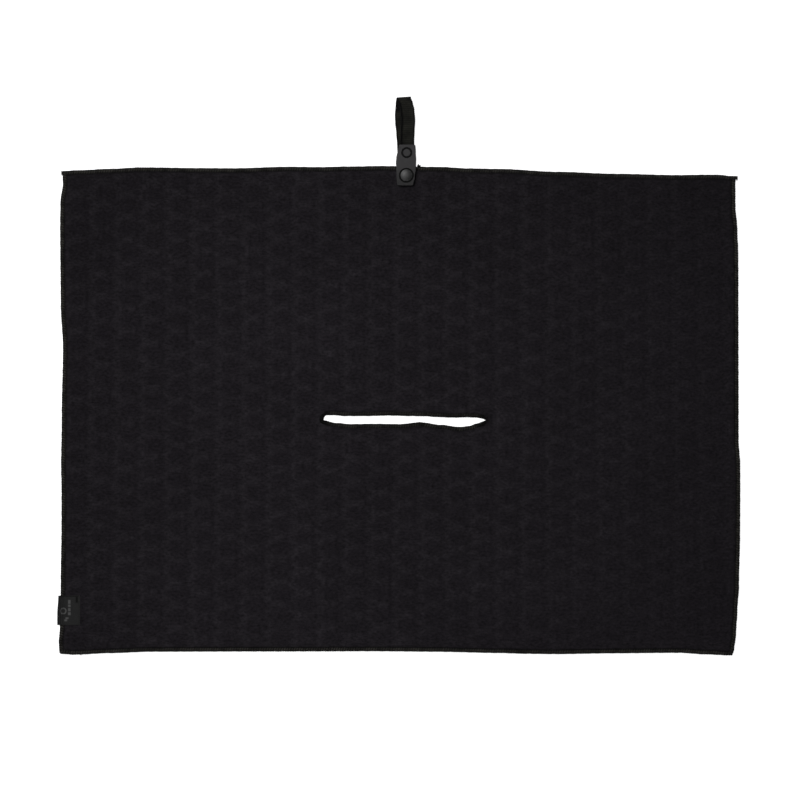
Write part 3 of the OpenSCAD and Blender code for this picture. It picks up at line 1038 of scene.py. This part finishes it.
# %% Material: ribbed webbing
webbing_look, tree, shader = material(
    "woven polyester webbing", 0.75, specular_ior_level=0.12, sheen_weight=0.03
)
tape = attribute(tree, "tape", "Vector")
yarn = noise(tree, vectors(tree, "MULTIPLY", tape, (1.0, 0.25, 1.0)), 2.6, 3.0)
patch = noise(tree, tape, 0.12, 2.0)
faded = remap(tree, product(tree, yarn, patch), 0.12, 0.4)
colour = mixed_colour(tree, faded, "#151513", "#30302a")
# Painted shade darkens both edges of the tape, where they round off.
from_middle = maths(tree, "ABSOLUTE", part(tree, tape, "X"))
edge_shade = remap(tree, from_middle, 5.2, 6.6, 1.0, 0.18)
along = maths(tree, "MULTIPLY", part(tree, tape, "Y"), np.pi / (RIB / MM))
rib = maths(tree, "ABSOLUTE", maths(tree, "SINE", along))
ribbed = remap(tree, rib, 0.0, 0.8, 0.35, 1.0)
tone = product(tree, edge_shade, ribbed, attribute(tree, "shade"))
paint(tree, shader, scaled(tree, colour, tone))
roughen(tree, shader, yarn, 0.6, 0.2 * MM)
webbing.data.materials.append(webbing_look)
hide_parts("strap_back_leg", "strap_fold", "strap_front_leg")
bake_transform(webbing)

# %% [markdown]
# The tab is moulded in soft grey elastomer on the end of the webbing. It is a plate
# with slightly bellied sides, small round corners and soft edges. A plain ring is
# pressed into it near the top, and a shallow moat runs round the snap cap. The ring
# holds painted shade, the moat a painted shadow of the cap, and the lower end is
# painted a little darker as shade.

# %% Shape of the tab
TAB_TILT = -2.1 * MM
TAB_EDGE = 0.55 * MM
TAB_CORNER = 1.6 * MM
RING_AT = (9.4 * MM, tab_hi.y - 8.5 * MM)
RING_R, RING_LINE, RING_DEEP = 4.8 * MM, 1.7 * MM, 0.6 * MM
CAP_R = (cap_hi.x - cap_lo.x) / 2
MOAT_R, MOAT_DEEP = CAP_R + 0.55 * MM, 0.85 * MM
TAB_WIDTHS = [(0, 16.8), (0.2, 19.2), (0.42, 20.6), (0.62, 20.4), (0.8, 18.9), (1, 17.4)]
tab_l = tab_hi.y - tab_lo.y
rows = spread([0, tab_l], 0.33 * MM)
columns_u = np.linspace(-1, 1, 58)
row_grid, u_grid = np.meshgrid(rows, columns_u, indexing="ij")
half_width = through(row_grid / tab_l, TAB_WIDTHS) * MM / 2
near_end = np.minimum(row_grid, tab_l - row_grid)
cut = np.clip(TAB_CORNER - near_end, 0, TAB_CORNER)
half_width = half_width - (TAB_CORNER - np.sqrt(TAB_CORNER**2 - cut**2))
tab_x = snap_x + TAB_TILT * (0.6 - row_grid / tab_l) + u_grid * half_width
tab_y = tab_lo.y + row_grid
rim_near = np.minimum((1 - np.abs(u_grid)) * half_width, near_end)
edge = np.clip(TAB_EDGE - rim_near, 0, TAB_EDGE)
tab_face = tab_hi.z - (TAB_EDGE - np.sqrt(TAB_EDGE**2 - edge**2))
from_ring = np.abs(np.hypot(tab_x - RING_AT[0], tab_y - RING_AT[1]) - RING_R)
tab_face = tab_face - RING_DEEP * smooth(RING_LINE / 2 + 0.15 * MM, RING_LINE / 2 - 0.15 * MM, from_ring)
from_moat = np.abs(np.hypot(tab_x - snap_x, tab_y - snap_y) - MOAT_R)
tab_face = tab_face - MOAT_DEEP * smooth(1.0 * MM, 0.7 * MM, from_moat)
swell = 0.12 * MM * np.cos(np.pi / 2 * u_grid) * smooth(0, 8 * MM, near_end)
face = np.stack([tab_x, tab_y, tab_face + swell], axis=-1).reshape(-1, 3)
back = np.stack([tab_x, tab_y, 0 * tab_x + tab_lo.z], axis=-1).reshape(-1, 3)
tab_points = np.concatenate([face, back])
tab = mesh_object("strap_tab_moulding", tab_points, slab_quads(tab_x.shape), crease=55)
# Painted shade in the ring groove, a painted shadow in the moat round the cap, and painted shade towards
# the lower end, all kept in the groove attribute.
tab_shade = smooth(RING_LINE / 2 + 0.25 * MM, RING_LINE / 2 - 0.05 * MM, from_ring)
lower_end_shade = 0.36 * smooth(22 * MM, 4 * MM, row_grid)
moat_shadow = smooth(1.15 * MM, 0.9 * MM, from_moat)
tab_shade = np.maximum(np.maximum(tab_shade, lower_end_shade), moat_shadow).reshape(-1)
store(tab, "groove", np.concatenate([tab_shade, 0 * tab_shade])[:, None])

# %% Material: moulded elastomer
tab_look, tree, shader = material("moulded thermoplastic elastomer", 0.6, specular_ior_level=0.14)
place = object_place(tree)
scuff = noise(tree, place, 160.0, 4.0)
colour = mixed_colour(tree, scuff, "#3d3c3d", "#504f50")
# The groove attribute paints shade near black into the ring and the moat, and a lighter shade towards
# the lower end.
paint(tree, shader, mixed_colour(tree, attribute(tree, "groove"), colour, "#050505"))
tree.links.new(remap(tree, scuff, 0.3, 0.7, 0.48, 0.64), shader.inputs["Roughness"])
roughen(tree, shader, noise(tree, place, 2600.0, 2.0), 0.35, 0.06 * MM)
tab.data.materials.append(tab_look)
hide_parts("strap_tab")
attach(tab, "strap")

# %% [markdown]
# Snap parts are pressed from thin sheet and are round, so each is a profile turned
# about the snap's own axis. Where a profile meets the axis its ring shrinks to a
# small closed disc.


# %% Turn a profile
def turned(name, profile, axis_at, sides=72):
    """A closed solid of revolution from (radius, height) pairs, listed so that the
    outside lies to the right of the line on its way; its two ends are capped, or
    joined when the line comes back to where it began."""
    ring = profile[0] == profile[-1]
    profile = profile[:-1] if ring else profile
    radius, height = np.array(profile, float).T
    angle = np.linspace(0, 2 * np.pi, sides, endpoint=False)
    x = axis_at[0] + radius[:, None] * np.cos(angle)
    y = axis_at[1] + radius[:, None] * np.sin(angle)
    z = height[:, None] + 0 * x
    points = np.stack([x, y, z], axis=-1)
    quads, caps = tube_mesh(points, closed=ring)
    return mesh_object(name, points.reshape(-1, 3), quads, caps, crease=50)


def curve_between(start, end, bow, count):
    """Points of a quarter-ellipse from start to end; bow says whether radius or height
    changes first, so that the curve bulges outwards or inwards."""
    t = np.linspace(0, np.pi / 2, count)
    first, second = (np.sin(t), 1 - np.cos(t)) if bow == "radius" else (1 - np.cos(t), np.sin(t))
    return [
        (start[0] + (end[0] - start[0]) * a, start[1] + (end[1] - start[1]) * b)
        for a, b in zip(first, second)
    ]


# %% Snap cap, socket, stud and post
snap_at = (snap_x, snap_y)
TINY = 0.02 * MM
cap_base = tab_hi.z - 0.2 * MM
dome_edge = (CAP_R - 0.15 * MM, tab_hi.z + 0.62 * MM)
cap_profile = [(TINY, cap_base), (CAP_R - 0.5 * MM, cap_base)]
cap_profile += curve_between((CAP_R - 0.5 * MM, cap_base), (CAP_R, cap_base + 0.5 * MM), "radius", 6)[1:]
cap_profile += curve_between((CAP_R, cap_base + 0.5 * MM), dome_edge, "height", 6)[1:]
dome_rise = cap_hi.z - dome_edge[1]
for share in np.linspace(1, 0, 22)[1:]:
    cap_profile.append((max(TINY, dome_edge[0] * share), dome_edge[1] + dome_rise * (1 - share**2.2)))
snap_cap = turned("snap_cap_dome", cap_profile, snap_at, sides=96)
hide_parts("snap_cap")
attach(snap_cap, "strap")

# %% Material: lacquered cap
cap_look, tree, shader = material("black lacquered brass", 0.5, metallic=0.85)
haze = noise(tree, object_place(tree), 420.0, 3.0)
paint(tree, shader, mixed_colour(tree, haze, "#404040", "#5c5c5c"))
tree.links.new(remap(tree, haze, 0.3, 0.7, 0.44, 0.56), shader.inputs["Roughness"])
snap_cap.data.materials.append(cap_look)

# %% [markdown]
# Under the cap sits the socket, a cupped ring that grips the stud with a wire spring;
# the stud is a collar with a bead on top, and the post behind the cloth is its rivet.

# %% Socket, stud and post
socket_lo, socket_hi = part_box("snap_socket")
stud_lo, stud_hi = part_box("snap_stud")
post_lo, post_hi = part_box("stud_post")
snap_boxes = [(socket_lo, socket_hi), (stud_lo, stud_hi), (post_lo, post_hi)]
socket_r, stud_r, post_r = [(high.x - low.x) / 2 for low, high in snap_boxes]
BORE, NECK, BEAD = 2.3 * MM, 1.6 * MM, 1.95 * MM
z0, z1 = socket_lo.z, socket_hi.z
socket_profile = [(BORE, z1), (BORE, z0 + 0.3 * MM)]
socket_profile += curve_between((BORE, z0 + 0.3 * MM), (BORE + 0.5 * MM, z0), "height", 5)[1:]
socket_profile += [(socket_r - 0.9 * MM, z0)]
socket_profile += curve_between((socket_r - 0.9 * MM, z0), (socket_r, z0 + 0.7 * MM), "radius", 7)[1:]
socket_profile += [(socket_r, z1 - 0.15 * MM), (socket_r - 0.15 * MM, z1), (BORE, z1)]
z0, z1 = stud_lo.z, stud_hi.z
stud_profile = [(TINY, z0), (stud_r - 0.15 * MM, z0), (stud_r, z0 + 0.15 * MM), (stud_r, z0 + 0.3 * MM)]
collar = (stud_r - 0.8 * MM, z0 + 0.42 * MM)
stud_profile += curve_between((stud_r, z0 + 0.3 * MM), collar, "height", 4)[1:]
stud_profile += [(NECK + 0.2 * MM, collar[1]), (NECK, z0 + 0.6 * MM), (NECK, z1 - 0.75 * MM)]
bead_turn = np.linspace(-0.6, 1.35, 12)
BEAD_R = 0.45 * MM
stud_profile += [
    (BEAD - BEAD_R + BEAD_R * math.cos(a), z1 - BEAD_R + BEAD_R * math.sin(a)) for a in bead_turn
]
stud_profile += [(0.8 * MM, z1 - 0.02 * MM), (TINY, z1 - 0.15 * MM)]
z0, z1 = post_lo.z, post_lo.z + 0.5 * MM
post_profile = [(TINY, z0 + 0.12 * MM), (1.1 * MM, z0 + 0.1 * MM), (1.6 * MM, z0)]
post_profile += [(post_r - 0.6 * MM, z0)]
post_profile += curve_between((post_r - 0.6 * MM, z0), (post_r, z1), "radius", 6)[1:]
post_profile += [(1.2 * MM, z1), (1.2 * MM, stud_lo.z - 0.05 * MM), (TINY, stud_lo.z - 0.05 * MM)]
snap_parts = [
    (turned("snap_socket_ring", socket_profile, snap_at), "snap_socket", "strap"),
    (turned("snap_stud_bead", stud_profile, snap_at), "snap_stud", "upper"),
    (turned("stud_post_rivet", post_profile, snap_at), "stud_post", "upper"),
]

# %% Material: snap metal and spring wire
metal_look, tree, shader = material("blackened nickel plated brass", 0.35, metallic=1.0)
pits = noise(tree, object_place(tree), 900.0, 3.0)
paint(tree, shader, mixed_colour(tree, pits, "#45464a", "#77787c"))
tree.links.new(remap(tree, pits, 0.0, 1.0, 0.22, 0.5), shader.inputs["Roughness"])
for piece, node_name, body in snap_parts:
    piece.data.materials.append(metal_look)
    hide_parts(node_name)
    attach(piece, body)
wire_look, tree, shader = material("drawn spring steel wire", 0.3, metallic=1.0)
drawn = noise(tree, object_place(tree), 2200.0, 2.0)
paint(tree, shader, mixed_colour(tree, drawn, "#8a8c90", "#b4b6b9"))
roughen(tree, shader, drawn, 0.2, 0.02 * MM)
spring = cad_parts["socket_spring"]
spring.data.materials.clear()
spring.data.materials.append(wire_look)

# %% [markdown]
# The label is a damask ribbon folded round the edge: one leaf under the cloth, a soft
# fold outside the seam, and one leaf on top. The seam beneath shows as a low ridge.

# %% Shape of the label
LABEL_T = 0.34 * MM
label_mid = (label_lo.y + label_hi.y) / 2 + 0.4 * MM
fold_r = (label_hi.z - label_lo.z - LABEL_T) / 2
low_z = label_lo.z + LABEL_T / 2
top_z = label_hi.z - LABEL_T / 2 + 0.25 * MM
fold_x = label_lo.x + LABEL_T / 2 + fold_r
bend = np.linspace(-np.pi / 2, np.pi / 2, 16)
bend_mid, bend_r = (low_z + top_z) / 2, (top_z - low_z) / 2
under = np.linspace([label_hi.x, low_z], [fold_x, low_z], 40)
over = np.linspace([fold_x, top_z], [label_hi.x, top_z], 50)
nose = np.stack([fold_x - bend_r * np.cos(bend), bend_mid + bend_r * np.sin(bend)], axis=-1)
strip = np.concatenate([under, nose[1:-1], over])
ridge = 0.32 * MM * np.exp(-(((strip[:, 0] - left - seam_w / 2) / (1.7 * MM)) ** 2))
strip[:, 1] += ridge * (strip[:, 1] > bend_mid)
strip = np.column_stack([strip[:, 0], np.zeros(len(strip)), strip[:, 1]])
strip, label_s = resample(strip, 0.4 * MM)
label_v = np.linspace(-1, 1, 60)
half_label = (label_hi.y - label_lo.y) / 2 + 0.4 * MM
tangent = unit(np.gradient(strip, axis=0))
normal = np.stack([-tangent[:, 2], 0 * tangent[:, 0], tangent[:, 0]], axis=-1)
skew = 0.1 * MM * (strip[:, 0] - left) / (label_hi.x - left)
label_y = label_mid + label_v[:, None] * half_label + skew[None, :]
pucker = 0.10 * MM * np.sin(label_v[:, None] * 9.0 + label_s[None, :] * 300.0)
lean = smooth(-0.3, 1.0, label_v)[:, None] * smooth(6 * MM, 0, strip[:, 0] - label_lo.x)[None, :]
lean_x = 1.1 * MM * lean
middle = np.stack([strip[None, :, 0] + lean_x, label_y, strip[None, :, 2] + 0 * label_y], axis=-1)
thick = (LABEL_T / 2) * normal[None, :, :]
lifted = np.array([0, 0, 1]) * (pucker * (normal[None, :, 2] > 0))[..., None]
outer, inner = middle + thick + lifted, middle - thick + lifted
shape = outer.shape[:2]
label_points = np.concatenate([outer.reshape(-1, 3), inner.reshape(-1, 3)])
label = mesh_object("woven_label_ribbon", label_points, slab_quads(shape), crease=50)
across_label = label_v[:, None] * half_label + 0 * label_y
along = np.stack([np.broadcast_to(label_s, shape), across_label, 0 * label_y], axis=-1)
store(label, "ribbon", np.concatenate([along.reshape(-1, 3)] * 2) / MM)

# %% [markdown]
# Damask shows its design by the way the threads lie. A plain ring and a few short bars
# stand on the upper leaf, and the fold is ribbed and darker. The material draws them
# from the distance along the ribbon, so they bend with it.

# %% Material: damask ribbon
label_look, tree, shader = material(
    "damask woven polyester ribbon", 0.65, specular_ior_level=0.15, sheen_weight=0.04
)
ribbon = attribute(tree, "ribbon", "Vector")


def stripes(tree, place, scale, distortion, way):
    """Soft stripes on the ribbon, one after the other along its X or its Y."""
    inputs = {"Vector": place, "Scale": scale, "Distortion": distortion}
    return add(tree, "ShaderNodeTexWave", inputs, bands_direction=way).outputs["Fac"]


def node_bar(tree, place, middle, half_size, soft=0.35):
    """1 inside a rectangle on the ribbon and 0 outside, with a soft edge: the larger of
    the two distances past the half sizes decides."""
    away = vectors(tree, "ABSOLUTE", vectors(tree, "SUBTRACT", place, (*middle, 0)))
    past = vectors(tree, "SUBTRACT", away, (*half_size, 0))
    most = maths(tree, "MAXIMUM", part(tree, past, "X"), part(tree, past, "Y"))
    return remap(tree, most, soft, -soft)


woven = product(tree, stripes(tree, ribbon, 0.42, 0.6, "Y"), stripes(tree, ribbon, 0.55, 0.8, "X"))
colour = mixed_colour(tree, woven, "#252525", "#3d3d3d")
top_from = label_s[-1] / MM
RING_ON_LABEL = (top_from - 17.6, -0.6, 0.0)
from_centre = vectors(tree, "LENGTH", vectors(tree, "SUBTRACT", ribbon, RING_ON_LABEL))
off_line = maths(tree, "ABSOLUTE", maths(tree, "SUBTRACT", from_centre, 2.9))
marks = [remap(tree, off_line, 0.85, 0.45)]
for at_y, half_long in ((8.9, 2.0), (4.7, 1.3), (0.7, 1.6), (-3.5, 1.5)):
    marks.append(node_bar(tree, ribbon, (top_from - 11.2, at_y), (1.3, half_long)))
for at_x, at_y in ((13.6, -8.2), (15.0, -10.4)):
    marks.append(node_bar(tree, ribbon, (top_from - at_x, at_y), (1.5, 0.9)))
marked = mixed_colour(tree, extreme(tree, "MAXIMUM", marks), colour, "#606060")
tack = node_bar(tree, ribbon, (top_from - 3.3, 11.2), (1.2, 3.2), 0.5)
# A painted shadow runs along the top edge of the upper leaf.
top_edge_shadow = node_bar(tree, ribbon, (top_from - 11, 14.6), (9.5, 0.4), 0.4)
near_fold = remap(tree, part(tree, ribbon, "X"), top_from - 15.5, top_from - 19.5, 0.0, 0.8)
fold_ribs = product(tree, stripes(tree, ribbon, 0.145, 2.5, "X"), near_fold)
dark = extreme(tree, "MAXIMUM", [tack, top_edge_shadow, fold_ribs])
paint(tree, shader, mixed_colour(tree, dark, marked, "#0e0e0e"))
roughen(tree, shader, woven, 0.5, 0.12 * MM)
label.data.materials.append(label_look)
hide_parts("woven_label")
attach(label, "lower")

# %% [markdown]
# Rows of single stitches hold the label and the strap's root. They are the same black
# thread as the seams, each one a short tube of its own.


# %% Label and anchor stitches
def sew(name, parts, wound):
    """Joins tubes of thread into one piece; wound says how light and shaded they are."""
    piece = mesh_object(name, *join_arrays(parts))
    store(piece, "wound", wound)
    piece.data.materials.append(thread_look)
    return piece


parts = []
for x in (left + 1.2 * MM, label_hi.x - 1.2 * MM):
    for k in range(9):
        y = label_lo.y + 1.2 * MM + k * 3.3 * MM
        z = top_z + LABEL_T / 2 + 0.05 * MM
        parts.append(stitch((x, y, z), (x, y + 2.5 * MM, z), 0.2 * MM, 0.1 * MM))
label_stitches = sew("label_stitches", parts, (0.6, 0.0, 0.0))
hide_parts("label_stitching")
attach(label_stitches, "lower")
anchor_lo, anchor_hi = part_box("anchor_stitching")
parts = []
for y in (anchor_lo.y + 0.2 * MM, anchor_hi.y - 0.2 * MM):
    for x in np.arange(anchor_lo.x, anchor_hi.x - 1.2 * MM, 2.6 * MM):
        for z in (root_box[0].z - 0.25 * MM, PAD_TOP - 0.2 * MM):
            parts.append(stitch((x, y, z), (x + 2.0 * MM, y, z), 0.2 * MM, 0.1 * MM))
anchor = sew("anchor_stitches", parts, (0.6, 0.0, 0.0))
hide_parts("anchor_stitching")
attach(anchor, "upper")

# %% [markdown]
# Seams end in small knots of thread. One sticks out beside the strap, where the sewing
# machine was cut loose, and two tails hang from the lower corners.

# %% Thread ends
edge_y = float(laid(snap_x + 13 * MM, top)[1])
knot = [
    ((12.0, -1.5, 2.9), (12.6, 2.2, 1.8), 1.1, 0.6),
    ((13.0, -1.2, 2.9), (14.6, 1.5, 1.6), 0.8, 0.4),
]
knot_at = np.array([snap_x, edge_y, 0.0])
parts = []
for start, end, radius, rise in knot:
    start, end = knot_at + np.array(start) * MM, knot_at + np.array(end) * MM
    parts.append(stitch(start, end, radius * MM, rise * MM))
# wound draws the knot nearly black, with the painted shade of bunched thread.
nub = sew("thread_end_upper", parts, (0.3, 0.9, 0.0))
tail_places = [(right, -10.5, -6.6, -1.9, 0.6), (left, 19.0, 21.4, -2.0, 0.5)]
parts = []
for corner_x, start_x, end_x, end_y, radius in tail_places:
    start = (corner_x + start_x * MM, bottom + 0.2 * MM, 1.2 * MM)
    end = (corner_x + end_x * MM, bottom + end_y * MM, 0.8 * MM)
    parts.append(stitch(start, end, radius * MM))
# wound draws the tails nearly black, with the painted shade of bunched thread.
tails = sew("thread_ends_lower", parts, (0.3, 0.9, 0.0))
for piece, body in ((nub, "upper"), (tails, "lower")):
    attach(piece, body)
